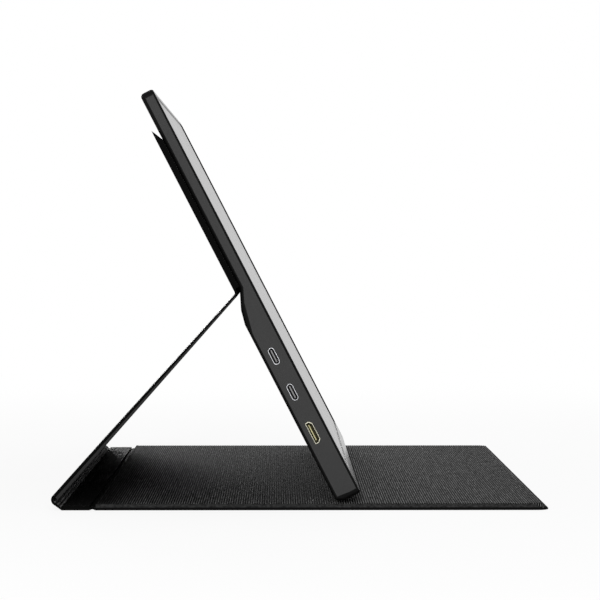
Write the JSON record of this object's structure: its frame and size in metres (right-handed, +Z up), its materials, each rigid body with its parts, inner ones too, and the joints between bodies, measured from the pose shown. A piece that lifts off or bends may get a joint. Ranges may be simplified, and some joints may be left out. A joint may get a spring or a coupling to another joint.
{
  "type": "portable monitor with cover",
  "caption": "Slim portable monitor held upright by its folding magnetic cover, whose strut and flap form an adjustable stand; ports on the left side, buttons on the right.",
  "frame": {"origin": "centre of the stand's footprint, on the surface it stands on, in the steep viewing position", "axes": "+X along the width, to the user's right when facing the screen; -Y towards the user; +Z up"},
  "size_m": [0.36, 0.2446, 0.2071],
  "materials": {
    "shell": "fine matte texture, near-black grey",
    "bezel": "fine matte texture",
    "screen": "glossy dark display glass",
    "cell": "smoky",
    "film": "diffuse white film",
    "guide": "clear acrylic",
    "sheet_metal": "satin",
    "circuit": "solder mask",
    "chip": "matte",
    "flex": "amber film",
    "cable": "white flat cable",
    "port_steel": "bright nickel plate",
    "port_gold": "pale gold plate",
    "contact_block": "matte",
    "speaker": "matte",
    "lead": "insulated wire",
    "screw": "bright",
    "black_screw": "black oxide",
    "key": "fine matte texture",
    "cover_skin": "black synthetic leather",
    "cover_board": "plain",
    "cover_lining": "dark grey ribbed weave",
    "magnet": "nickel plate"
  },
  "bodies": {
    "cover_base": {"base_skin": "cover_skin", "base_board": "cover_board", "base_lining": "cover_lining", "base_magnets": "magnet", "base_fold": "cover_skin", "spine_skin": "cover_skin", "spine_board": "cover_board", "spine_lining": "cover_lining", "lower_fold": "cover_skin"},
    "strut": {"strut_skin": "cover_skin", "strut_board": "cover_board", "strut_lining": "cover_lining", "upper_fold": "cover_skin"},
    "monitor": {"rear_shell": "shell", "front_frame": "bezel", "screen_glass": "screen", "display_cell": "cell", "optical_films": "film", "light_guide": "guide", "reflector_sheet": "film", "led_strip": "film", "panel_tray": "sheet_metal", "panel_flex": "flex", "driver_board": "circuit", "display_cable": "cable", "main_board": "circuit", "board_chips": "chip", "board_shield": "sheet_metal", "upper_c_port": "port_steel", "lower_c_port": "port_steel", "video_port": "port_gold", "port_tongues": "contact_block", "headphone_socket": "contact_block", "button_board": "circuit", "button_switches": "screw", "button_cable": "cable", "left_speaker": "speaker", "right_speaker": "speaker", "speaker_leads": "lead", "board_screws": "screw", "shell_screws": "black_screw", "grip_plate": "sheet_metal", "flap_skin": "cover_skin", "flap_board": "cover_board", "flap_lining": "cover_lining", "flap_magnets": "magnet"},
    "power_button": {"power_button": "key"},
    "menu_rocker": {"menu_rocker": "key"}
  },
  "joints": [
    {"name": "strut_fold", "type": "hinge", "parent": "cover_base", "child": "strut", "pos_m": [0, 0.12185, 0.0042], "axis": [1, 0, 0], "range_deg": [0, 16.4], "deforming": ["lower_fold"]},
    {"name": "monitor_tilt", "type": "hinge", "parent": "strut", "child": "monitor", "pos_m": [0, 0.03043, 0.10695], "axis": [1, 0, 0], "range_deg": [-42.33, 0], "deforming": ["upper_fold"]},
    {"name": "power_press", "type": "slide", "parent": "monitor", "child": "power_button", "axis": [-1, 0, 0], "range_m": [0, 0.00035], "stiffness_N_per_m": 600},
    {"name": "menu_rock", "type": "hinge", "parent": "monitor", "child": "menu_rocker", "pos_m": [0.17645, 0.00436, 0.05851], "axis": [0, 0.8886, -0.4587], "range_deg": [-1.8, 1.8], "stiffness_Nm_per_rad": 0.03}
  ],
  "couplings": [
    {"joint": "monitor_tilt", "follows": "strut_fold", "ratio": -2.575}
  ]
}
